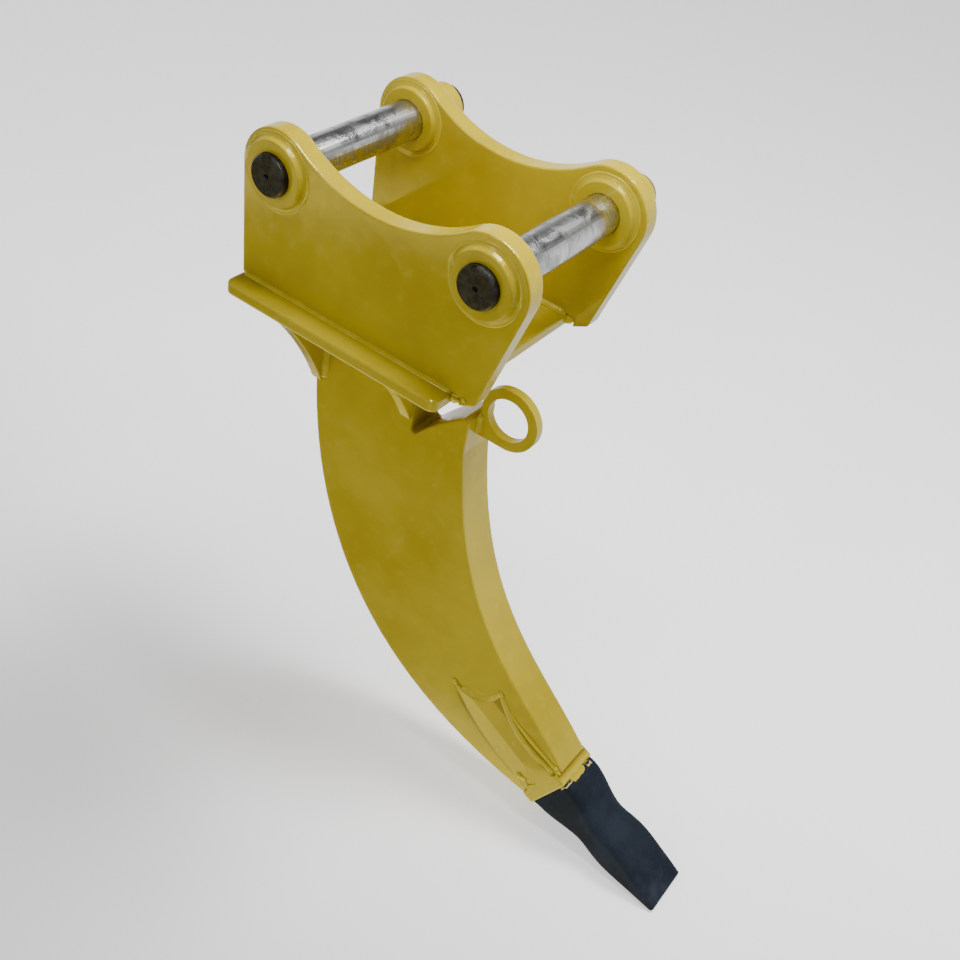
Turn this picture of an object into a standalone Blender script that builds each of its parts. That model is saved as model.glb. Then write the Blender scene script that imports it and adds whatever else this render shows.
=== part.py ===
"""Ripper shank tooth for an excavator: a welded bracket with two mounting pins, a curved shank plate,
a lifting eye, a weld-on adapter and a chisel tooth. Metres, +Z up, +X towards the tooth's tip.
The origin is the centre of the front pin, on the plane of symmetry."""

import math

import bmesh
import bpy
from mathutils import Matrix, Vector

# Clearances
FIT = 0.0003  # between pieces that touch
PIN_CLEARANCE = 0.0003  # radial, between a pin and its bore

# Pins and what locks them
PIN_SPACING = 0.290
PIN_DIAMETER = 0.050
PIN_PROUD = 0.009  # beyond the outer face of the near boss
PIN_TAIL = 0.010  # beyond the lock collar on the far side
PIN_CHAMFER = 0.0022
CENTRE_HOLE_DIAMETER = 0.007
CENTRE_HOLE_DEPTH = 0.006
COLLAR_DIAMETER = 0.060
COLLAR_ROOT_DIAMETER = 0.068
COLLAR_ROOT_LENGTH = 0.009
COLLAR_LENGTH = 0.037
COLLAR_CHAMFER = 0.002
LOCK_BOLT_DIAMETER = 0.012
LOCK_BOLT_SETBACK = 0.022  # from the root end of the collar to the bolt's axis
LOCK_BOLT_HEAD_WIDTH = 0.018
LOCK_BOLT_HEAD_HEIGHT = 0.0075
LOCK_BOLT_ENTRY = 0.0025  # how far the bolt's end goes into the collar's upper wall
SPOT_FACE_DEPTH = 0.0028
SPOT_FACE_RADIUS = 0.0116

# Ears and bosses
EAR_SPAN = 0.266  # over the outer faces of both ears
EAR_THICKNESS = 0.026
REAR_LOBE_RADIUS = 0.051
FRONT_LOBE_RADIUS = 0.056
SADDLE_RADIUS = 0.205
PIN_HEIGHT = 0.150  # of the pin axes above the base plate
EAR_HEEL = 0.045  # the foot's rear corner, behind the rear pin
EAR_TOE = 0.016  # the foot's front corner, ahead of the front pin
EAR_TOE_WIDTH = 0.020
EAR_TOE_DROP = 0.013
EAR_TOE_LAND = 0.003  # how far the front edge runs on below the foot
EAR_EDGE = 0.0022
BOSS_DIAMETER = 0.080
BOSS_HEIGHT = 0.008  # proud of each face of the ear
BOSS_CHAMFER = 0.0015
BOSS_WELD = 0.006  # leg of the fillet weld round each boss

# Base plate
PLATE_MARGIN = 0.031  # beside each ear
PLATE_WIDTH = EAR_SPAN + 2 * PLATE_MARGIN
PLATE_THICKNESS = 0.016
PLATE_FRONT = 0.015  # its front end, behind the front pin
PLATE_CORNER = 0.011
PLATE_EDGE = 0.003

# Shank
SHANK_THICKNESS = 0.060
NECK_REAR_SETBACK = 0.003  # of the neck's rear edge, behind the rear pin
NECK_FRONT_SETBACK = 0.127  # of the neck's front edge, behind the front pin
NECK_DEPTH = 0.134  # straight part of the rear edge, below the plate
NOTCH_DEPTH = 0.171  # of the notch's bottom below the plate
NOTCH_RADIUS = 0.005
HORN_TOP_DEPTH = 0.0932  # of the horn's tip below the plate
HORN_SETBACK = 0.0435  # of the horn's front edge, behind the front pin
HORN_TIP_RADIUS = 0.006
HORN_BOW = 0.004  # how far the horn's upper edge bows out
HORN_DEPTH = 0.154  # where the horn's front edge runs into the hollow edge
SHANK_EDGE = 0.0028
REAR_PULL_TOP = 0.256
REAR_PULL_FOOT = 0.363
FRONT_PULL_TOP = 0.294
FRONT_PULL_FOOT = 0.150
FRONT_LEAN_TOP = 8.0
FRONT_LEAN_FOOT = 40.0
REAR_LEAN = 0.009  # how far the rear edge's pull leans forward at the neck
REAR_FOOT_RISE = 0.0246  # of the rear edge's pull above its foot
SHANK_FOOT_FORWARD = 0.0085  # the rear edge's foot and the hollow edge's foot, in the joint frame
SHANK_FOOT_DROP = 0.0432
SHANK_BROW = 0.0434

# Gussets under the plate
GUSSET_THICKNESS = 0.016
GUSSET_REACH = 0.150  # from the plane of symmetry
GUSSET_LIP = 0.006
GUSSET_REAR_DEPTH = 0.164
GUSSET_FRONT_DEPTH = 0.142
GUSSET_TIP = 0.006
GUSSET_HOLLOW = 0.010  # how far the free edge is hollowed out
GUSSET_EDGE = 0.0012

# Lifting eye
EYE_HOLE_DIAMETER = 0.060
EYE_DIAMETER = 0.087
EYE_THICKNESS = 0.0125
EYE_DEPTH = 0.2525  # of its centre below the pin axes
EYE_EDGE = 0.0025
EYE_CUT = 0.004  # what its flat foot takes off the ring

# Nose joint, where the tooth meets the adapter: the joint frame's x runs forward along the nose
JOINT_FORWARD = 0.2115
JOINT_DEPTH = 0.801
JOINT_PITCH = 26.0
NOSE_LENGTH = 0.078
NOSE_ROOT_HEIGHT = 0.058
NOSE_ROOT_WIDTH = 0.048
NOSE_END_HEIGHT = 0.034
NOSE_END_WIDTH = 0.036

# Adapter
COLLAR_TOP = 0.0435  # the adapter's mouth above and below the nose axis
COLLAR_BOTTOM = 0.0445
COLLAR_BAND = 0.020
COLLAR_STOP = 0.016  # from the joint back to the shank's end
CHEEK_THICKNESS = 0.0075
CHEEK_TIP_THICKNESS = 0.0040
CHEEK_RIDGE_DROP = 0.0004  # from the mouth to the start of the ridge
CHEEK_LOWER_TIP = 0.212
CHEEK_LOWER_TIP_RISE = -0.003
CHEEK_LOWER_START = -0.031
CHEEK_LOWER_SAG = 0.0165
CHEEK_UPPER_TIP = 0.158
CHEEK_UPPER_TIP_RISE = 0.061
CHEEK_UPPER_START = 0.0385
CHEEK_UPPER_SAG = 0.0175
CHEEK_TAIL_HOLLOW = 0.022
CHEEK_RIDGE_MOUTH = 0.002  # rise of the ridge along each cheek, at the mouth and at the tail
CHEEK_RIDGE_TAIL = 0.006
CHEEK_FALL = 0.0060  # how far each cheek falls away from its ridge, over the reach of the cutter
CHEEK_FALL_REACH = 0.110
ADAPTER_EDGE = 0.0022

# Tooth: each station has its distance from the joint, rise of its centre, height and width
TOOTH_HEEL_RISE = 0.0005
TOOTH_HEEL_HEIGHT = 0.0900
TOOTH_HEEL_WIDTH = 0.0730
TOOTH_SHOULDER = 0.012
TOOTH_SHOULDER_RISE = 0.0032
TOOTH_SHOULDER_HEIGHT = 0.0900
TOOTH_WAIST = 0.084
TOOTH_WAIST_RISE = 0.0052
TOOTH_WAIST_HEIGHT = 0.0578
TOOTH_WAIST_WIDTH = 0.0700
TOOTH_BLADE = 0.116
TOOTH_BLADE_RISE = 0.0085
TOOTH_BLADE_HEIGHT = 0.0592
TOOTH_BLADE_WIDTH = 0.0745
TOOTH_BEVEL = 0.181
TOOTH_BEVEL_RISE = 0.0148
TOOTH_BEVEL_HEIGHT = 0.0285
TOOTH_BEVEL_WIDTH = 0.0805
TOOTH_LENGTH = 0.2175
TOOTH_EDGE_RISE = 0.0175
TOOTH_EDGE_HEIGHT = 0.0085
TOOTH_EDGE_WIDTH = 0.0820
TOOTH_CORNER_HEEL = 0.009
TOOTH_CORNER_WAIST = 0.015
TOOTH_CORNER_EDGE = 0.004
TOOTH_EDGE_ROUND = 0.003

ROUND_STEPS = 44
ARC_STEP = 6.0  # degrees between the points of an arc

# Places that several pieces share
PLATE_TOP = -PIN_HEIGHT
PLATE_BOTTOM = PLATE_TOP - PLATE_THICKNESS
EAR_FACE = EAR_SPAN / 2
EAR_MIDDLE = EAR_FACE - EAR_THICKNESS / 2
BOSS_FACE = EAR_FACE + BOSS_HEIGHT
SHANK_FACE = SHANK_THICKNESS / 2
COLLAR_END = BOSS_FACE + FIT + COLLAR_LENGTH
PIN_NEAR_END = -(BOSS_FACE + PIN_PROUD)
PIN_FAR_END = COLLAR_END + PIN_TAIL
NECK_TOP = PLATE_BOTTOM - FIT
NECK_REAR = -(PIN_SPACING + NECK_REAR_SETBACK)
NECK_FRONT = -NECK_FRONT_SETBACK
HORN_FRONT = -HORN_SETBACK
LOCK_BOLT_Y = BOSS_FACE + FIT + LOCK_BOLT_SETBACK

JOINT = Matrix.Translation((JOINT_FORWARD, 0, -JOINT_DEPTH)) @ Matrix.Rotation(
    math.radians(JOINT_PITCH), 4, "Y"
)
PINS = {"rear": -PIN_SPACING, "front": 0.0}

# Every earlier object goes, so that the script can run again in the same file
for old in list(bpy.data.objects):
    bpy.data.objects.remove(old, do_unlink=True)

PARTS = bpy.data.collections.new("ripper_shank_tooth")
CUTTERS = bpy.data.collections.new("cutters")
bpy.context.scene.collection.children.link(PARTS)
bpy.context.scene.collection.children.link(CUTTERS)

ROOT = bpy.data.objects.new("ripper_frame", None)
PARTS.objects.link(ROOT)


# Materials


def material(name, colour, roughness, metallic):
    made = bpy.data.materials.new(name)
    made.use_nodes = True
    shader = made.node_tree.nodes["Principled BSDF"]
    shader.inputs["Base Color"].default_value = (*colour, 1)
    shader.inputs["Roughness"].default_value = roughness
    shader.inputs["Metallic"].default_value = metallic
    made.diffuse_color = (*colour, 1)
    made.roughness = roughness
    made.metallic = metallic
    return made


YELLOW = (0.42, 0.31, 0.035)


def paint(name):
    return material(name + "_paint", YELLOW, 0.32, 0.0)


# Outline geometry: each function gives points (x, z) in a vertical plane


def polar(centre, radius, degrees):
    turn = math.radians(degrees)
    return (centre[0] + radius * math.cos(turn), centre[1] + radius * math.sin(turn))


def arc(centre, radius, start, end, step=ARC_STEP):
    count = max(2, math.ceil(abs(end - start) / step))
    return [polar(centre, radius, start + (end - start) * i / count) for i in range(count + 1)]


def tangent_angle(point, centre, radius, side):
    """The angle on the circle where the line from the point touches it; side is 1 or -1."""
    away = math.degrees(math.atan2(point[1] - centre[1], point[0] - centre[0]))
    reach = math.dist(point, centre)
    return away + side * math.degrees(math.acos(radius / reach))


def bowed(start, end, sag, count=10):
    """An arc between two points that bows by sag to the left of the way from start to end."""
    a = Vector(start)
    b = Vector(end)
    middle = (a + b) / 2
    left = Vector((-(b - a).y, (b - a).x)).normalized()
    half = (b - a).length / 2
    radius = (half * half + sag * sag) / (2 * sag)
    centre = middle + left * (sag - radius)
    first = math.degrees(math.atan2(a.y - centre.y, a.x - centre.x))
    last = math.degrees(math.atan2(b.y - centre.y, b.x - centre.x))
    while last - first > 180:
        last -= 360
    while last - first < -180:
        last += 360
    return arc(centre, abs(radius), first, last, abs(last - first) / count)


def bezier(a, b, c, d, count=28):
    found = []
    for i in range(count + 1):
        t = i / count
        s = 1 - t
        found.append(
            tuple(
                s**3 * p + 3 * s * s * t * q + 3 * s * t * t * r + t**3 * w
                for p, q, r, w in zip(a, b, c, d)
            )
        )
    return found


def filleted(before, corner, after, radius, count=5):
    """The rounded corner between two straight edges."""
    c = Vector(corner)
    one = (Vector(before) - c).normalized()
    two = (Vector(after) - c).normalized()
    half = one.angle(two) / 2
    centre = c + (one + two).normalized() * (radius / math.sin(half))
    start = c + one * (radius / math.tan(half)) - centre
    end = c + two * (radius / math.tan(half)) - centre
    first = math.degrees(math.atan2(start.y, start.x))
    last = math.degrees(math.atan2(end.y, end.x))
    while last - first > 180:
        last -= 360
    while last - first < -180:
        last += 360
    return arc(centre, radius, first, last, abs(last - first) / count)


def in_joint(x, z):
    """A point of the joint frame's vertical plane as (x, z) of the part."""
    placed = JOINT @ Vector((x, 0, z))
    return (placed.x, placed.z)


def cut_at_joint(points, back):
    """The points of a line that lie behind the plane that is back from the joint, ended on that plane."""
    inverse = JOINT.inverted()
    depths = [(inverse @ Vector((x, 0, z))).x + back for x, z in points]
    kept = []
    for i, (point, depth) in enumerate(zip(points, depths)):
        if depth <= 0:
            kept.append(point)
            continue
        share = depths[i - 1] / (depths[i - 1] - depth)
        last = points[i - 1]
        kept.append(tuple(p + (q - p) * share for p, q in zip(last, point)))
        break
    return kept


# Solids


def finish(obj, name, look, smooth=35.0):
    obj.name = name
    obj.data.name = name
    obj.data.materials.clear()
    obj.data.materials.append(look)
    if smooth:
        obj.data.shade_smooth()
        obj.data.set_sharp_from_angle(angle=math.radians(smooth))
    obj.parent = ROOT
    return obj


def as_cutter(obj, name):
    obj.name = name
    obj.data.name = name
    obj.hide_render = True
    obj.display_type = "WIRE"
    return obj


def new_object(name, mesh, collection):
    obj = bpy.data.objects.new(name, mesh)
    collection.objects.link(obj)
    return obj


def plate(name, outline, thickness, collection=PARTS, holes=()):
    """A flat outline in its own XY plane, filled and thickened, as a welded mesh."""
    curve = bpy.data.curves.new(name + "_outline", "CURVE")
    curve.dimensions = "2D"
    curve.fill_mode = "BOTH"
    curve.extrude = thickness / 2
    for loop in (outline, *holes):
        spline = curve.splines.new("POLY")
        spline.points.add(len(loop) - 1)
        for point, (x, y) in zip(spline.points, loop):
            point.co = (x, y, 0, 1)
        spline.use_cyclic_u = True
    guide = bpy.data.objects.new(name + "_outline", curve)
    CUTTERS.objects.link(guide)
    bpy.context.view_layer.update()
    graph = bpy.context.evaluated_depsgraph_get()
    mesh = bpy.data.meshes.new_from_object(guide.evaluated_get(graph))
    bpy.data.objects.remove(guide, do_unlink=True)
    shape = bmesh.new()
    shape.from_mesh(mesh)
    bmesh.ops.remove_doubles(shape, verts=shape.verts, dist=0.000001)
    bmesh.ops.dissolve_limit(shape, angle_limit=math.radians(0.2), verts=shape.verts, edges=shape.edges)
    bmesh.ops.recalc_face_normals(shape, faces=shape.faces)
    shape.to_mesh(mesh)
    shape.free()
    return new_object(name, mesh, collection)


def upright(obj, y=0.0):
    """Turns an outline of (x, z) points up into its vertical plane."""
    obj.rotation_euler = (math.radians(90), 0, 0)
    obj.location = (0, y, 0)
    return obj


def across(obj, x=0.0):
    """Turns an outline of (y, z) points into a plane square to X."""
    obj.rotation_euler = (math.radians(90), 0, math.radians(90))
    obj.location = (x, 0, 0)
    return obj


def turned(name, profile, collection=PARTS, steps=ROUND_STEPS, ring=False):
    """A profile of (radius, height) points turned about its own Z; the outer side runs top to bottom."""
    mesh = bpy.data.meshes.new(name)
    count = len(profile)
    edges = [(i, i + 1) for i in range(count - 1)]
    if ring:
        edges.append((count - 1, 0))
    mesh.from_pydata([(r, 0, z) for r, z in profile], edges, [])
    obj = new_object(name, mesh, collection)
    screw = obj.modifiers.new("Turn", "SCREW")
    screw.steps = steps
    screw.render_steps = steps
    screw.use_merge_vertices = True
    screw.merge_threshold = 0.00001
    screw.use_smooth_shade = True
    return obj


def fixed(obj):
    """The object with its modifiers applied, so that its own mesh can be shaded and cut."""
    bpy.context.view_layer.update()
    graph = bpy.context.evaluated_depsgraph_get()
    mesh = bpy.data.meshes.new_from_object(obj.evaluated_get(graph))
    obj.modifiers.clear()
    obj.data = mesh
    return obj


def edge_round(obj, width, segments=2, angle=40.0):
    bevel = obj.modifiers.new("Edges", "BEVEL")
    bevel.width = width
    bevel.segments = segments
    bevel.limit_method = "ANGLE"
    bevel.angle_limit = math.radians(angle)
    return bevel


def boolean(obj, other, operation="DIFFERENCE"):
    step = obj.modifiers.new(operation.title(), "BOOLEAN")
    step.operation = operation
    step.solver = "EXACT"
    step.object = other
    return step


def bar(name, radius, length, collection=CUTTERS, vertices=ROUND_STEPS):
    """A round cutter along its own Z."""
    shape = bmesh.new()
    bmesh.ops.create_cone(
        shape,
        cap_ends=True,
        segments=vertices,
        radius1=radius,
        radius2=radius,
        depth=length,
    )
    mesh = bpy.data.meshes.new(name)
    shape.to_mesh(mesh)
    shape.free()
    return new_object(name, mesh, collection)


def block(name, size, centre, collection=CUTTERS):
    shape = bmesh.new()
    bmesh.ops.create_cube(shape, size=1.0)
    bmesh.ops.scale(shape, vec=size, verts=shape.verts)
    bmesh.ops.translate(shape, vec=centre, verts=shape.verts)
    mesh = bpy.data.meshes.new(name)
    shape.to_mesh(mesh)
    shape.free()
    return new_object(name, mesh, collection)


def lofted(name, sections, collection=PARTS):
    """A skin over closed sections of equal point counts, each a list of points, with flat ends."""
    shape = bmesh.new()
    rings = [[shape.verts.new(p) for p in section] for section in sections]
    for one, two in zip(rings, rings[1:]):
        for i in range(len(one)):
            j = (i + 1) % len(one)
            shape.faces.new((one[i], one[j], two[j], two[i]))
    shape.faces.new(rings[0])
    shape.faces.new(rings[-1])
    bmesh.ops.recalc_face_normals(shape, faces=shape.faces)
    mesh = bpy.data.meshes.new(name)
    shape.to_mesh(mesh)
    shape.free()
    return new_object(name, mesh, collection)


def rounded_section(x, rise, height, width, radius, points=4):
    """A rounded rectangle square to the x axis, in the joint frame."""
    radius = min(radius, 0.45 * height, 0.45 * width)
    found = []
    for quarter, (sy, sz) in enumerate(((1, 1), (-1, 1), (-1, -1), (1, -1))):
        cy = sy * (width / 2 - radius)
        cz = rise + sz * (height / 2 - radius)
        for i in range(points + 1):
            turn = math.radians(90 * quarter + 90 * i / points)
            found.append((x, cy + radius * math.cos(turn), cz + radius * math.sin(turn)))
    return found


# Ears


def saddle():
    """Centre of the arc that touches both lobes from above, between the pins."""
    rear = SADDLE_RADIUS + REAR_LOBE_RADIUS
    front = SADDLE_RADIUS + FRONT_LOBE_RADIUS
    along = (rear**2 - front**2 + PIN_SPACING**2) / (2 * PIN_SPACING)
    return (along - PIN_SPACING, math.sqrt(rear**2 - along**2))


def angle_to(start, end):
    return math.degrees(math.atan2(end[1] - start[1], end[0] - start[0]))


def ear_outline():
    rear = (-PIN_SPACING, 0.0)
    front = (0.0, 0.0)
    foot = PLATE_TOP + FIT
    heel = (-PIN_SPACING - EAR_HEEL, foot)
    toe = (EAR_TOE, foot - EAR_TOE_LAND)
    hollow = saddle()
    points = [heel]
    points += arc(
        rear,
        REAR_LOBE_RADIUS,
        tangent_angle(heel, rear, REAR_LOBE_RADIUS, -1) + 360,
        angle_to(rear, hollow),
    )
    points += arc(
        hollow, SADDLE_RADIUS, angle_to(hollow, rear) + 360, angle_to(hollow, front) + 360, 3.0
    )[1:]
    points += arc(
        front,
        FRONT_LOBE_RADIUS,
        angle_to(front, hollow),
        tangent_angle(toe, front, FRONT_LOBE_RADIUS, 1),
    )[1:]
    points.append(toe)
    points.append((EAR_TOE - EAR_TOE_WIDTH, foot - EAR_TOE_DROP))
    points.append((EAR_TOE - EAR_TOE_WIDTH, foot))
    return points


for side, sign in (("left", -1), ("right", 1)):
    ear = upright(plate("ear_" + side, ear_outline(), EAR_THICKNESS), sign * EAR_MIDDLE)
    edge_round(ear, EAR_EDGE)
    for where, x in PINS.items():
        bore = bar(f"bore_{side}_{where}", BOSS_DIAMETER / 2 + FIT, EAR_THICKNESS * 2)
        bore.rotation_euler = (math.radians(90), 0, 0)
        bore.location = (x, sign * EAR_MIDDLE, 0)
        as_cutter(bore, f"bore_{side}_{where}")
        boolean(ear, bore)
    finish(ear, "ear_" + side, paint("ear_" + side))


# Bosses: each goes through its ear, with a fillet weld round it on both faces


def boss_profile():
    outer = BOSS_DIAMETER / 2
    inner = PIN_DIAMETER / 2 + PIN_CLEARANCE
    top = EAR_THICKNESS / 2 + BOSS_HEIGHT
    face = EAR_THICKNESS / 2 + FIT
    upper = [(inner, top), (outer - BOSS_CHAMFER, top), (outer, top - BOSS_CHAMFER)]
    upper += arc((outer + BOSS_WELD, face + BOSS_WELD), BOSS_WELD, 180, 270, 45)
    upper.append((outer, face))
    lower = [(r, -z) for r, z in reversed(upper)]
    return upper + lower


for side, sign in (("left", -1), ("right", 1)):
    for where, x in PINS.items():
        boss = fixed(turned(f"boss_{where}_{side}", boss_profile(), ring=True))
        boss.rotation_euler = (math.radians(90), 0, 0)
        boss.location = (x, sign * EAR_MIDDLE, 0)
        finish(boss, f"boss_{where}_{side}", paint(f"boss_{where}_{side}"))


# Pins, lock collars and lock bolts

PIN_LENGTH = PIN_FAR_END - PIN_NEAR_END
BOLT_REACH = COLLAR_DIAMETER / 2 - (COLLAR_DIAMETER - PIN_DIAMETER) / 2 + LOCK_BOLT_ENTRY
SPOT_FACE = COLLAR_DIAMETER / 2 - SPOT_FACE_DEPTH


def pin_profile():
    radius = PIN_DIAMETER / 2
    hole = CENTRE_HOLE_DIAMETER / 2
    return [
        (0, PIN_LENGTH - CENTRE_HOLE_DEPTH),
        (hole, PIN_LENGTH),
        (radius - PIN_CHAMFER, PIN_LENGTH),
        (radius, PIN_LENGTH - PIN_CHAMFER),
        (radius, PIN_CHAMFER),
        (radius - PIN_CHAMFER, 0),
        (0, 0),
    ]


def collar_profile():
    outer = COLLAR_DIAMETER / 2
    root = COLLAR_ROOT_DIAMETER / 2
    inner = PIN_DIAMETER / 2 + PIN_CLEARANCE
    step = COLLAR_LENGTH - COLLAR_ROOT_LENGTH
    return [
        (inner, COLLAR_LENGTH),
        (root, COLLAR_LENGTH),
        (root, step + (root - outer) / 2),
        (outer, step),
        (outer, COLLAR_CHAMFER),
        (outer - COLLAR_CHAMFER, 0),
        (inner, 0),
    ]


for where, x in PINS.items():
    pin = fixed(turned("pin_" + where, pin_profile()))
    pin.rotation_euler = (math.radians(90), 0, 0)
    pin.location = (x, PIN_FAR_END, 0)
    collar = fixed(turned("collar_" + where, collar_profile(), ring=True))
    collar.rotation_euler = (math.radians(90), 0, 0)
    collar.location = (x, COLLAR_END, 0)

    hole_radius = LOCK_BOLT_DIAMETER / 2 + FIT
    hole_top = BOLT_REACH + FIT
    hole_bottom = -COLLAR_ROOT_DIAMETER
    hole = bar("bolt_hole_" + where, hole_radius, hole_top - hole_bottom, vertices=24)
    hole.location = (x, LOCK_BOLT_Y, (hole_top + hole_bottom) / 2)
    as_cutter(hole, "bolt_hole_" + where)
    face = bar("spot_face_" + where, SPOT_FACE_RADIUS, COLLAR_DIAMETER, vertices=24)
    face.location = (x, LOCK_BOLT_Y, -SPOT_FACE - COLLAR_DIAMETER / 2)
    as_cutter(face, "spot_face_" + where)
    boolean(pin, hole)
    boolean(collar, hole)
    boolean(collar, face)
    finish(pin, "pin_" + where, material(f"pin_{where}_steel", (0.55, 0.55, 0.55), 0.28, 1.0))
    finish(collar, "collar_" + where, paint("collar_" + where))

    bolt = bar(
        "lock_bolt_" + where,
        LOCK_BOLT_DIAMETER / 2,
        BOLT_REACH + SPOT_FACE + LOCK_BOLT_HEAD_HEIGHT / 2,
        PARTS,
        24,
    )
    bolt.location = (
        x,
        LOCK_BOLT_Y,
        (BOLT_REACH - SPOT_FACE - LOCK_BOLT_HEAD_HEIGHT / 2) / 2,
    )
    head = bar(
        "bolt_head_" + where,
        LOCK_BOLT_HEAD_WIDTH / math.sqrt(3),
        LOCK_BOLT_HEAD_HEIGHT,
        CUTTERS,
        6,
    )
    head.location = (x, LOCK_BOLT_Y, -SPOT_FACE - FIT - LOCK_BOLT_HEAD_HEIGHT / 2)
    as_cutter(head, "bolt_head_" + where)
    boolean(bolt, head, "UNION")
    finish(bolt, "lock_bolt_" + where, material(f"lock_bolt_{where}_steel", (0.08, 0.08, 0.08), 0.4, 0.8))


# Base plate


def base_plate_outline():
    rear = -PIN_SPACING - EAR_HEEL
    front = -PLATE_FRONT
    half = PLATE_WIDTH / 2
    corner = PLATE_CORNER
    points = arc((front - corner, half - corner), corner, 90, 0, 18)
    points += arc((front - corner, corner - half), corner, 0, -90, 18)
    points += arc((rear + corner, corner - half), corner, 270, 180, 18)
    points += arc((rear + corner, half - corner), corner, 180, 90, 18)
    return points


base = plate("base_plate", base_plate_outline(), PLATE_THICKNESS)
base.location = (0, 0, (PLATE_TOP + PLATE_BOTTOM) / 2)
edge_round(base, PLATE_EDGE)
finish(base, "base_plate", paint("base_plate"))


# Shank


def shank_outline():
    end = COLLAR_STOP + FIT
    foot = in_joint(SHANK_FOOT_FORWARD, -SHANK_FOOT_DROP)
    rear_top = (NECK_REAR, PLATE_BOTTOM - NECK_DEPTH)
    joint_x, joint_z = foot
    rear = bezier(
        rear_top,
        (rear_top[0] + REAR_LEAN, rear_top[1] - REAR_PULL_TOP),
        (joint_x - REAR_PULL_FOOT, joint_z + REAR_FOOT_RISE),
        foot,
    )
    brow = in_joint(0.0, SHANK_BROW)
    top_pull = math.radians(FRONT_LEAN_TOP)
    foot_pull = math.radians(90 - FRONT_LEAN_FOOT)
    hollow_top = (HORN_FRONT, PLATE_BOTTOM - HORN_DEPTH)
    hollow = bezier(
        hollow_top,
        (
            hollow_top[0] + FRONT_PULL_TOP * math.sin(top_pull),
            hollow_top[1] - FRONT_PULL_TOP * math.cos(top_pull),
        ),
        (
            brow[0] - FRONT_PULL_FOOT * math.cos(foot_pull),
            brow[1] + FRONT_PULL_FOOT * math.sin(foot_pull),
        ),
        brow,
    )
    notch = (NECK_FRONT, PLATE_BOTTOM - NOTCH_DEPTH)
    horn = (HORN_FRONT, PLATE_BOTTOM - HORN_TOP_DEPTH)
    neck = (NECK_FRONT, NECK_TOP)
    points = [neck]
    points += filleted(neck, notch, horn, NOTCH_RADIUS)
    rise = bowed(points[-1], horn, HORN_BOW, 8)
    tip = filleted(rise[-3], horn, hollow_top, HORN_TIP_RADIUS)
    points += [p for p in rise[1:-1] if p[0] < tip[0][0] - HORN_TIP_RADIUS / 4]
    points += tip
    points += cut_at_joint(hollow, end)
    points += reversed(cut_at_joint(rear, end))
    points.append((NECK_REAR, NECK_TOP))
    return points


shank = upright(plate("shank", shank_outline(), SHANK_THICKNESS))
edge_round(shank, SHANK_EDGE)
finish(shank, "shank", paint("shank"))


# Gussets


def gusset_outline(sign, depth):
    inner = SHANK_FACE + FIT
    lip = (GUSSET_REACH, NECK_TOP - GUSSET_LIP)
    tip = (inner + GUSSET_TIP, PLATE_BOTTOM - depth)
    points = [(inner, NECK_TOP), (GUSSET_REACH, NECK_TOP)]
    points += bowed(lip, tip, -GUSSET_HOLLOW)
    points.append((inner, tip[1]))
    return [(sign * y, z) for y, z in points]


GUSSETS = {
    "rear": (NECK_REAR + GUSSET_THICKNESS / 2, GUSSET_REAR_DEPTH),
    "front": (NECK_FRONT - GUSSET_THICKNESS / 2, GUSSET_FRONT_DEPTH),
}
for where, (x, depth) in GUSSETS.items():
    for side, sign in (("left", -1), ("right", 1)):
        gusset = across(
            plate(f"gusset_{where}_{side}", gusset_outline(sign, depth), GUSSET_THICKNESS), x
        )
        edge_round(gusset, GUSSET_EDGE, 1)
        finish(gusset, f"gusset_{where}_{side}", paint(f"gusset_{where}_{side}"))


# Lifting eye, a ring with a foot that stands against the horn

EYE_X = HORN_FRONT + FIT + EYE_DIAMETER / 2 - EYE_CUT


def eye_outline():
    centre = (EYE_X, -EYE_DEPTH)
    last = math.degrees(math.acos(EYE_CUT * 2 / EYE_DIAMETER - 1))
    points = arc(centre, EYE_DIAMETER / 2, -90, last, 7.5)
    points.append((HORN_FRONT + FIT, -EYE_DEPTH - EYE_DIAMETER / 2))
    return points


eye = upright(
    plate(
        "lifting_eye",
        eye_outline(),
        EYE_THICKNESS,
        holes=(arc((EYE_X, -EYE_DEPTH), EYE_HOLE_DIAMETER / 2, 0, 352.5, 7.5),),
    )
)
edge_round(eye, EYE_EDGE, 2)
finish(eye, "lifting_eye", paint("lifting_eye"))


# Adapter: a mouth with a swallow-tailed cheek on each side of the shank, and a nose for the tooth


def nose(name, clearance, back, collection):
    """The tapered nose, longer at its root by back, and larger all round by clearance."""
    slope_height = (NOSE_ROOT_HEIGHT - NOSE_END_HEIGHT) / NOSE_LENGTH
    slope_width = (NOSE_ROOT_WIDTH - NOSE_END_WIDTH) / NOSE_LENGTH
    sections = []
    for x in (-back, NOSE_LENGTH + clearance):
        height = NOSE_ROOT_HEIGHT - slope_height * x + 2 * clearance
        width = NOSE_ROOT_WIDTH - slope_width * x + 2 * clearance
        sections.append(rounded_section(x, 0, height, width, 0.006 + clearance, 3))
    made = lofted(name, sections, collection)
    made.matrix_world = JOINT
    return made


def cheek_outline():
    back = -COLLAR_BAND
    lower = (-CHEEK_LOWER_TIP, CHEEK_LOWER_TIP_RISE)
    upper = (-CHEEK_UPPER_TIP, CHEEK_UPPER_TIP_RISE)
    points = [(0, COLLAR_TOP), (0, -COLLAR_BOTTOM), (back, -COLLAR_BOTTOM)]
    points += bowed((back, CHEEK_LOWER_START), lower, CHEEK_LOWER_SAG)
    points += bowed(lower, upper, -CHEEK_TAIL_HOLLOW, 8)[1:]
    points += bowed(upper, (back, CHEEK_UPPER_START), -CHEEK_UPPER_SAG)[1:]
    points.append((back, COLLAR_TOP))
    return points


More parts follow.
